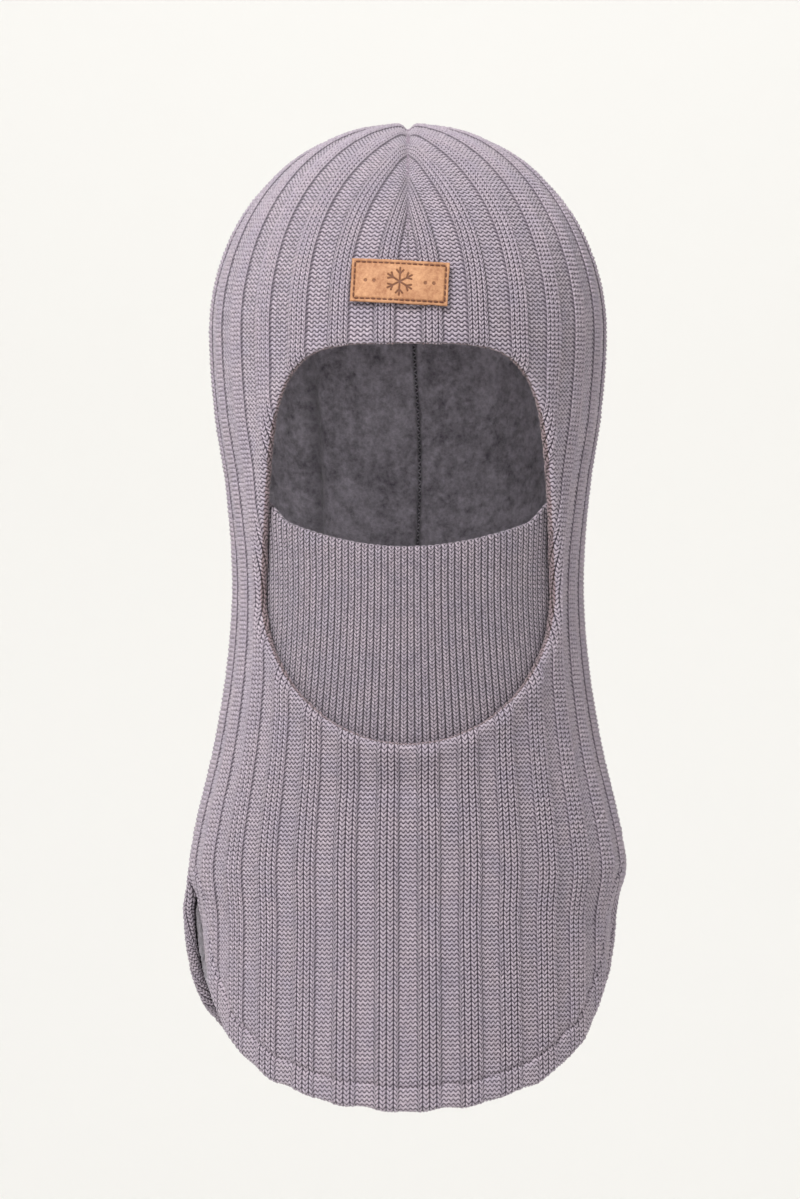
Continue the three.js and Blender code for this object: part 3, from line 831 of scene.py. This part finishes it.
def add_mask():
    per_rib, per_course = 7, 4    # mesh points
    fold_rows, rim_rows = 6, 24
    columns = MASK_RIBS * per_rib + 1
    rows_up = int((MASK_EDGE + MASK_RISE - MASK_FOOT) / MASK_COURSE * per_course)
    rows = 2 * rows_up + fold_rows
    rib = np.linspace(0, MASK_RIBS, columns)
    place = np.linspace(-1, 1, columns)
    turn = MASK_REACH * (0.93 * place + 0.07 * place ** 3)
    turn = turn + 0.004 * ripple(rib, rib, 33, 2.0, 3.0)

    # The folded edge dips in the middle. The cloth goes up to it, round the fold and down again.
    x = np.sin(turn) * 0.075
    top = MASK_EDGE + MASK_RISE * (x / HOLE_HALF_WIDTH) ** 2 - MASK_FOLD
    top = top + 0.006 * smooth(np.abs(x), 0.0545, 0.0650)
    climb = np.arange(rows_up) / (rows_up - 1)
    bow = np.arange(1, fold_rows + 1) / (fold_rows + 1) * math.pi
    share = np.concatenate([climb, np.ones(fold_rows), climb[::-1]])
    angle = np.concatenate([0 * climb, bow, 0 * climb + math.pi])[:, None]
    level = MASK_FOOT + (top[None, :] - MASK_FOOT) * share[:, None]
    level = level + MASK_FOLD * np.sin(angle)
    turn = turn[None, :] + 0 * level
    outer, out = form(turn, level), form_out(turn, level)
    sag = 0.0016 * np.exp(-(turn / 0.5) ** 2) * smooth(level, -0.17, -0.10)
    inset = MASK_INSET + MASK_FOLD * (1 - np.cos(angle)) + sag
    points = outer - out * inset[..., None]
    facing = out * np.cos(angle)[..., None] + np.array([0, 0, 1.0]) * np.sin(angle)[..., None]

    # Its stitches: a knit wale of slanted legs, then a groove with a purl bar in it.
    course = np.arange(rows)[:, None] / per_course + 0 * turn
    rib = rib[None, :] + 0 * turn
    off = np.abs(rib % 1 - 0.5) * 2
    half = off / GROOVE
    leg = np.clip(1 - ((half - 0.5) / 0.52) ** 2, 0, 1) ** 0.7
    phase = course - MASK_SLANT * half
    vees = leg * (0.05 + 0.95 * np.sin(math.pi * (phase % 1)) ** 0.9)
    bars = 0.10 + 0.25 * np.sin(math.pi * (course % 1))
    loops = np.where(off < GROOVE, vees, bars)
    loops = loops * (0.85 + 0.3 * chance(np.floor(rib * 2), np.floor(phase), 7))
    rounded = np.sqrt(np.clip(1 - off ** 5, 0, 1))
    folded = smooth(level, top[None, :] - 0.004, top[None, :])
    height = (MASK_RIB_DEPTH - 0.0003 * folded) * rounded + MASK_LOOP_DEPTH * loops + MASK_GROUND
    height = height + 0.0005 * ripple(rib, course, 31, 9, 16)
    # Painted shade: the material darkens the mask where this is low, between the loops and in the
    # grooves.
    relief = np.clip(0.80 * loops + 0.20 * rounded, 0, 1)

    points = (points + facing * height[..., None])[::-1]
    past = hole.measure(outer.reshape(-1, 3), 0.05)[1].reshape(rows, columns)[::-1].ravel()
    shading = grid_normals(points)
    stitches = np.stack([rib[::-1].ravel() * 2, course[::-1].ravel()], -1)
    faces = grid_faces(rows, columns)
    sewn_in = past[faces].min(1) > -MASK_SEWN
    row = faces[:, 0] // columns
    rim = (row >= rows_up - rim_rows) & (row < rows_up + fold_rows + rim_rows)
    inner = row < rows_up
    material = mask_material()
    for label, chosen, node in (("mask_front_layer", ~inner & ~rim, "mask_outer"),
                                ("mask_back_layer", inner & ~rim, "mask_inner"),
                                ("mask_folded_edge", rim, "mask_rim")):
        piece = add_piece(label, points.reshape(-1, 3), faces[sewn_in & chosen],
                          shading.reshape(-1, 3), stitches, unit_square(rows, columns),
                          relief[::-1].ravel())
        dress(piece, None, node, material)
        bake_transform(piece)


add_mask()

# ---------------------------------------------------------------------------------------------
# Lining: grey fleece in two halves, joined by a seam down the middle of the back, and one panel
# in each bib. It stops short of the face opening, where the knit is turned in over it.

LINING_INSET, LINING_SETBACK = 0.0042, 0.012
LINING_STEP = 0.0012              # between mesh rows
PUFF, DITCH, CREASE = 0.0016, 0.0018, 0.0042


def fleece_material():
    material, start = new_material("fleece")
    nap = start.noise(start.place(), 420.0, 4.0, 0.72)
    clumps = start.noise(start.place(), 150.0, 3.0, 0.6)
    clouds = start.noise(start.place(), 38.0, 2.0, 0.5)
    tone = (nap * 0.45 + clumps * 0.35 + clouds * 0.2).level(0.36, 0.64)
    colour = tone.mix(rgb(118, 113, 121), rgb(232, 225, 235))
    # Painted shade: darkest in the seam's ditch and along the crease.
    colour = start.attribute("relief").mix(colour, rgb(30, 28, 31))
    start.finish(colour, 1.0, nap * 0.6 + clumps * 0.4, 0.0016,
                 **{"Sheen Weight": 0.35, "Sheen Roughness": 0.6})
    return material


fleece = fleece_material()


def fleece_bumps(a, b, seed):
    """Heights of a brushed nap, from a coarse noise laid over a finer one."""
    rng = np.random.default_rng(seed)
    rows, columns = a.shape
    total = np.zeros((rows, columns))
    for size, amount in ((7, 0.5), (3, 0.35), (1, 0.25)):
        grid = rng.uniform(-1, 1, (rows // size + 3, columns // size + 3))
        i, j = np.arange(rows) / size, np.arange(columns) / size
        i0, j0 = i.astype(int), j.astype(int)
        fi = smooth(i - i0, 0, 1)[:, None]
        fj = smooth(j - j0, 0, 1)[None, :]
        g = (grid[i0][:, j0] * (1 - fi) * (1 - fj) + grid[i0 + 1][:, j0] * fi * (1 - fj)
             + grid[i0][:, j0 + 1] * (1 - fi) * fj + grid[i0 + 1][:, j0 + 1] * fi * fj)
        total += amount * g
    return total


def seam_drift(level):
    """The lining's seam wanders a little towards +X behind the face opening."""
    return 0.0055 * np.exp(-((level + 0.055) / 0.07) ** 2)


def lining_points(turn, level, seed):
    """Points of the lining, the same points on the form, and the painted shade of the seam's ditch and
    the crease.
    """
    points = form(turn, level)
    x, behind = points[..., 0], points[..., 1] > 0
    bumps = 0.0004 * fleece_bumps(turn, level, seed) if np.ndim(turn) == 2 else 0.0
    away = np.abs(x - seam_drift(level)) + 1.0 * (points[..., 1] < 0)
    puff = PUFF * np.exp(-((away - 0.0035) / 0.003) ** 2) - DITCH * np.exp(-(away / 0.0009) ** 2)
    crease = CREASE * np.exp(-((x + 0.044 + 0.05 * (level + 0.05)) / 0.0032) ** 2)
    crease = crease * behind * smooth(-level, -0.03, 0.03)
    slack = 0.0010 * ripple(x, level, seed + 4, 0.035, 0.05)
    inset = LINING_INSET + np.clip(puff + bumps + crease + slack, -0.0008, 0.005)
    # Painted shade in the seam's ditch and along the crease, for the material.
    shade = 0.85 * np.exp(-((away - 0.0002) / 0.0006) ** 2) + 0.45 * crease / CREASE
    return points - form_out(turn, level) * inset[..., None], points, shade


def add_linings():
    top = CROWN_BASE + CROWN_RISE - 0.0003
    rise = np.linspace(0, 1, 96)
    dome = CROWN_BASE + (top - CROWN_BASE) * np.sin(rise * math.pi / 2)
    level = np.arange(CROWN_BASE - LINING_STEP, SLIT_TOP - 0.0005, -LINING_STEP)
    level = np.concatenate([dome[::-1], level])
    for name, side in (("left", -1), ("right", 1)):
        columns = 270
        place = 1 - (1 - np.linspace(0, 1, columns)[None, :]) ** 1.6
        last = math.pi - side * seam_drift(level[:, None]) / 0.075
        turn = side * place * last
        points, outer, shade = lining_points(turn, level[:, None] + 0 * turn, 41 + side)
        past = hole.measure(outer.reshape(-1, 3), 0.05)[1]
        faces = grid_faces(len(level), columns)
        keep = past[faces].max(1) < -LINING_SETBACK
        shading = grid_normals(points) * side
        piece = add_piece(f"hood_fleece_{name}", points.reshape(-1, 3), wound(faces[keep], -side),
                          -shading.reshape(-1, 3), None, unit_square(len(level), columns),
                          shade.ravel())
        dress(piece, "hood", f"hood_lining_{name}", fleece)
    for body, lowest, middle, seed in (("front_bib", HEM_LEVEL, 0.0, 51),
                                       ("back_bib", BACK_HEM_LEVEL, math.pi, 54)):
        level = np.arange(SLIT_TOP, lowest, -LINING_STEP)[:, None]
        turn = np.linspace(-math.pi / 2, math.pi / 2, 240)[None, :] + 0 * level
        points, outer, _ = lining_points(turn + middle, level + 0 * turn, seed)
        outer = outer.reshape(-1, 3)
        past = hem.measure(outer, 0.05)[1]
        faces = grid_faces(*turn.shape)
        beside_slit = outer[faces[:, 0], 2] > BIB_ROUND - SLIT_PART
        keep = past[faces].max(1) < np.where(beside_slit, -0.0008, 0.002 - HEM_WIDTH)
        under_hem = 0.0018 * smooth(past, -0.010, -0.006) * (past > -0.5)
        points = points - (form_normal(outer) * under_hem[:, None]).reshape(points.shape)
        shading = grid_normals(points)
        piece = add_piece(f"{body}_fleece", points.reshape(-1, 3), wound(faces[keep], -1),
                          -shading.reshape(-1, 3), None, unit_square(*turn.shape))
        dress(piece, None, f"{body}_lining", fleece)
        bend(piece)


add_linings()

# ---------------------------------------------------------------------------------------------
# Label: a piece of tan leather sewn on the forehead with brown thread all round. It carries a
# plain pressed snowflake and nothing else.

LABEL_SIZE = (0.040, 0.0178)
LABEL_CENTRE, LABEL_TILT = (-0.0034, 0.0236), math.radians(-3)
LABEL_LIFT, LABEL_THICKNESS = 0.0012, 0.0014
STITCH_IN, STITCH_PITCH = 0.0014, 0.0024
SNOWFLAKE_RADIUS, DOT_PLACES = 0.0056, (0.0105, 0.0140)
PRESSED = 0.00042                 # depth of the mark and of the dip under the stitches


def brow(x, z, out):
    """The point of the forehead's form at X and Z, raised outwards, and its normal."""
    x, z = np.broadcast_arrays(np.asarray(x, float), np.asarray(z, float))
    lift = np.clip((z - CROWN_BASE) / CROWN_RISE, 0, 1)
    y = -HEAD_FRONT_DEPTH * np.sqrt(1 - lift ** 2 - (x / HEAD_HALF_WIDTH) ** 2)
    points = np.stack([x, y, z], -1)
    normals = unit(np.stack([x / HEAD_HALF_WIDTH ** 2, y / HEAD_FRONT_DEPTH ** 2,
                             (z - CROWN_BASE) / CROWN_RISE ** 2], -1))
    return points + normals * np.asarray(out)[..., None], normals


def on_label(u, v):
    """X and Z of a point of the label, u across and v up from its middle."""
    c, s = math.cos(LABEL_TILT), math.sin(LABEL_TILT)
    return LABEL_CENTRE[0] + u * c - v * s, LABEL_CENTRE[1] + u * s + v * c


def near_segment(u, v, a, b):
    """Distance from points to a straight segment."""
    a, b = np.array(a), np.array(b)
    along = b - a
    t = np.clip(((u - a[0]) * along[0] + (v - a[1]) * along[1]) / np.dot(along, along), 0, 1)
    return np.hypot(u - a[0] - t * along[0], v - a[1] - t * along[1])


def snowflake(u, v, radius):
    """Distance to the lines of a six-armed snowflake."""
    nearest = np.full(u.shape, 1.0)
    for k in range(6):
        angle = k * math.pi / 3 + math.pi / 6
        tip = (radius * math.cos(angle), radius * math.sin(angle))
        nearest = np.minimum(nearest, near_segment(u, v, (0, 0), tip))
        root = (tip[0] * 0.58, tip[1] * 0.58)
        for lean in (-0.75, 0.75):
            twig = (root[0] + 0.36 * radius * math.cos(angle + lean),
                    root[1] + 0.36 * radius * math.sin(angle + lean))
            nearest = np.minimum(nearest, near_segment(u, v, root, twig))
    return nearest


def add_label():
    half_u, half_v = LABEL_SIZE[0] / 2, LABEL_SIZE[1] / 2
    columns, rows, side = 231, 105, 6
    u = np.linspace(-half_u, half_u, columns)
    v = np.linspace(half_v, -half_v, rows)
    wall = np.linspace(0, 1, side + 1)[1:]
    u = np.concatenate([np.full(side, u[0]), u, np.full(side, u[-1])])
    v = np.concatenate([np.full(side, v[0]), v, np.full(side, v[-1])])
    drop_u = np.concatenate([wall[::-1], np.zeros(columns), wall])
    drop_v = np.concatenate([wall[::-1], np.zeros(rows), wall])
    grid_u, grid_v = np.meshgrid(u, v)
    drop = np.maximum(drop_u[None, :], drop_v[:, None])
    frayed = 0.00012 * ripple(grid_u, grid_v, 61, 0.0015, 0.0015)
    grid_u = grid_u + frayed * (np.abs(grid_u) > half_u - 0.002)
    grid_v = grid_v + frayed * (np.abs(grid_v) > half_v - 0.002)
    edge = np.minimum(half_u - np.abs(grid_u), half_v - np.abs(grid_v))
    rounded = 0.0004 * (1 - smooth(edge, -0.0002, 0.0007)) ** 2
    stitch_dip = PRESSED * np.exp(-((edge - STITCH_IN) / 0.0005) ** 2)
    mark = snowflake(grid_u, grid_v, SNOWFLAKE_RADIUS)
    near_dot, far_dot = (np.hypot(np.abs(grid_u) - place, grid_v) for place in DOT_PLACES)
    dots = np.minimum(near_dot, far_dot)
    pressed = PRESSED * (1 - smooth(mark, 0.00022, 0.0005))
    pressed = np.maximum(pressed, 0.00035 * (1 - smooth(dots, 0.00055, 0.0009)))
    grain = 0.00005 * fleece_bumps(grid_u, grid_v, 62)
    bow = 0.0006 * (grid_u / half_u) ** 2 + 0.0004 * ripple(grid_u, grid_v, 63, 0.012, 0.012)
    out = LABEL_LIFT + LABEL_THICKNESS * (1 - drop) + grain - 0.5 * bow
    out = out - rounded - stitch_dip - pressed
    x, z = on_label(grid_u, grid_v)
    points, _ = brow(x, z, out)
    rows, columns = grid_u.shape
    piece = add_piece("leather_label", points.reshape(-1, 3), grid_faces(rows, columns),
                      grid_normals(points).reshape(-1, 3), None, unit_square(rows, columns),
                      (pressed / PRESSED + stitch_dip / 0.0012 + 0.4 * drop).ravel())
    material, start = new_material("label_leather")
    suede = start.noise(start.place(), 700.0, 4.0, 0.7)
    patches = start.noise(start.place(), 130.0, 3.0, 0.6)
    tone = (suede * 0.55 + patches * 0.45).level(0.34, 0.66)
    tan = tone.mix(rgb(158, 106, 73), rgb(208, 156, 114))
    colour = start.attribute("relief").level(0.1, 1.0).mix(tan, rgb(112, 70, 48))
    start.finish(colour, tone * -0.12 + 0.72, suede, 0.0003)
    dress(piece, "hood", "label", material)


def tube(path, radius, sides=8):
    """Points and faces of a closed, round-ended thread along a path."""
    path = np.asarray(path, float)
    along = unit(np.gradient(path, axis=0))
    guide = np.where(np.abs(along[:, 1:2]) < 0.9, [[0, 1.0, 0]], [[1.0, 0, 0]])
    first = unit(np.cross(along, guide))
    second = np.cross(along, first)
    turn = np.arange(sides) / sides * 2 * math.pi
    share = np.linspace(-1, 1, len(path))
    thick = radius * np.clip(1 - np.abs(share) ** 6, 0.05, 1) ** 0.5
    around = first[:, None] * np.cos(turn)[None, :, None]
    around = around + second[:, None] * np.sin(turn)[None, :, None]
    rings = path[:, None] + thick[:, None, None] * around
    faces = []
    for i in range(len(path) - 1):
        for j in range(sides):
            k = (j + 1) % sides
            faces.append([i * sides + j, i * sides + k, (i + 1) * sides + k, (i + 1) * sides + j])
    return rings.reshape(-1, 3), np.array(faces)


def add_threads(name, paths, radius, sides=8):
    """All the stitches of one seam as one piece."""
    points, faces, count = [], [], 0
    for path in paths:
        some, quads = tube(path, radius, sides)
        points.append(some)
        faces.append(quads + count)
        count += len(some)
    return add_piece(name, np.concatenate(points), np.concatenate(faces), None)


def add_label_stitches():
    half_u, half_v = LABEL_SIZE[0] / 2 - STITCH_IN, LABEL_SIZE[1] / 2 - STITCH_IN
    corners = [(-half_u, half_v), (half_u, half_v), (half_u, -half_v), (-half_u, -half_v)]
    paths = []
    for (u0, v0), (u1, v1) in zip(corners, corners[1:] + corners[:1]):
        length = math.hypot(u1 - u0, v1 - v0)
        count = round(length / STITCH_PITCH)
        for i in range(count):
            t = np.linspace((i + 0.10) / count, (i + 0.90) / count, 9)
            x, z = on_label(u0 + (u1 - u0) * t, v0 + (v1 - v0) * t)
            arch = np.sin(np.linspace(0, math.pi, 9)) ** 0.6
            paths.append(brow(x, z, 0.0020 + 0.00045 * arch)[0])
    piece = add_threads("label_thread", paths, 0.00030)
    material, start = new_material("label_thread")
    twist = start.noise(start.place(), 2600.0, 1.0)
    start.finish(twist.mix(rgb(86, 48, 34), rgb(120, 74, 52)), 0.6)
    dress(piece, "hood", "label_stitching", material)


add_label()
add_label_stitches()

# ---------------------------------------------------------------------------------------------
# Seams: yarn stitches at the bottom of the ditch where the two sides of the hood are joined, and
# a flat seam of overlock stitches between the two halves of the lining.


def seam_line(count):
    """The middle line from the forehead over the crown and down the back to the hem."""
    start = math.asin((0.048 - CROWN_BASE) / CROWN_RISE)
    angle = np.linspace(start, math.pi, 400)
    depth = np.where(np.cos(angle) > 0, HEAD_FRONT_DEPTH, HEAD_BACK_DEPTH)
    dome = np.stack([0 * angle, -np.cos(angle) * depth, CROWN_BASE + CROWN_RISE * np.sin(angle)], -1)
    level = np.linspace(CROWN_BASE, BACK_HEM_LEVEL + 0.004, 600)[1:]
    back = form(math.pi, level)
    line = np.concatenate([dome, back])
    steps = np.linalg.norm(np.diff(line, axis=0), axis=1)
    length = np.concatenate([[0], np.cumsum(steps)])
    at = np.linspace(0, length[-1], count)
    return np.stack([np.interp(at, length, line[:, k]) for k in range(3)], -1), length[-1]


def add_seams():
    length = seam_line(2)[1]
    points_per_stitch = 4
    count = int(length / COURSE) * points_per_stitch
    line, _ = seam_line(count)
    along = unit(np.gradient(line, axis=0))
    out = unit(np.cross(along, np.array([1.0, 0, 0])))
    if out[0, 1] > 0:
        out = -out
    hood_paths, bib_paths = [], []
    t = np.linspace(-1, 1, 9)
    arch = 0.0003 * (1 - t ** 2)
    half_width, sunk = 0.0011, 0.0032
    for i in range(2, count - points_per_stitch, points_per_stitch):
        lean = 0.0008 * (1 if (i // points_per_stitch) % 2 else -1)
        path = line[i] + np.array([half_width, 0, 0]) * t[:, None] + along[i] * (lean * t)[:, None]
        path = path + out[i] * (arch - sunk)[:, None]
        on_hood = line[i, 2] > SLIT_TOP or line[i, 1] < 0
        (hood_paths if on_hood else bib_paths).append(path)
    material, start = new_material("seam_yarn")
    twist = start.noise(start.place(), 1500.0, 3.0, 0.7)
    start.finish(twist.mix(rgb(118, 106, 118), rgb(176, 162, 174)), 0.95)
    piece = add_threads("crown_seam_yarn", hood_paths, 0.00042, 6)
    dress(piece, "hood", "crown_seam", material)
    piece = add_threads("back_seam_yarn", bib_paths, 0.00042, 6)
    dress(piece, None, "back_bib_seam", material)
    bend(piece)
    inner_paths = []
    for i, z in enumerate(np.arange(0.060, SLIT_TOP + 0.002, -0.0016)):
        turn = math.pi - (seam_drift(z) + 0.0008 * t) / body_size(min(z, CROWN_BASE), 2)
        tilt = 0.0006 * (1 if i % 2 else -1)
        points = lining_points(turn, z + tilt * t, 99)[0]
        inner_paths.append(points + np.array([0, -1.0, 0]) * (arch - 0.0002)[:, None])
    piece = add_threads("lining_seam_thread", inner_paths, 0.00028, 6)
    dress(piece, "hood", "lining_seam", fleece)


add_seams()
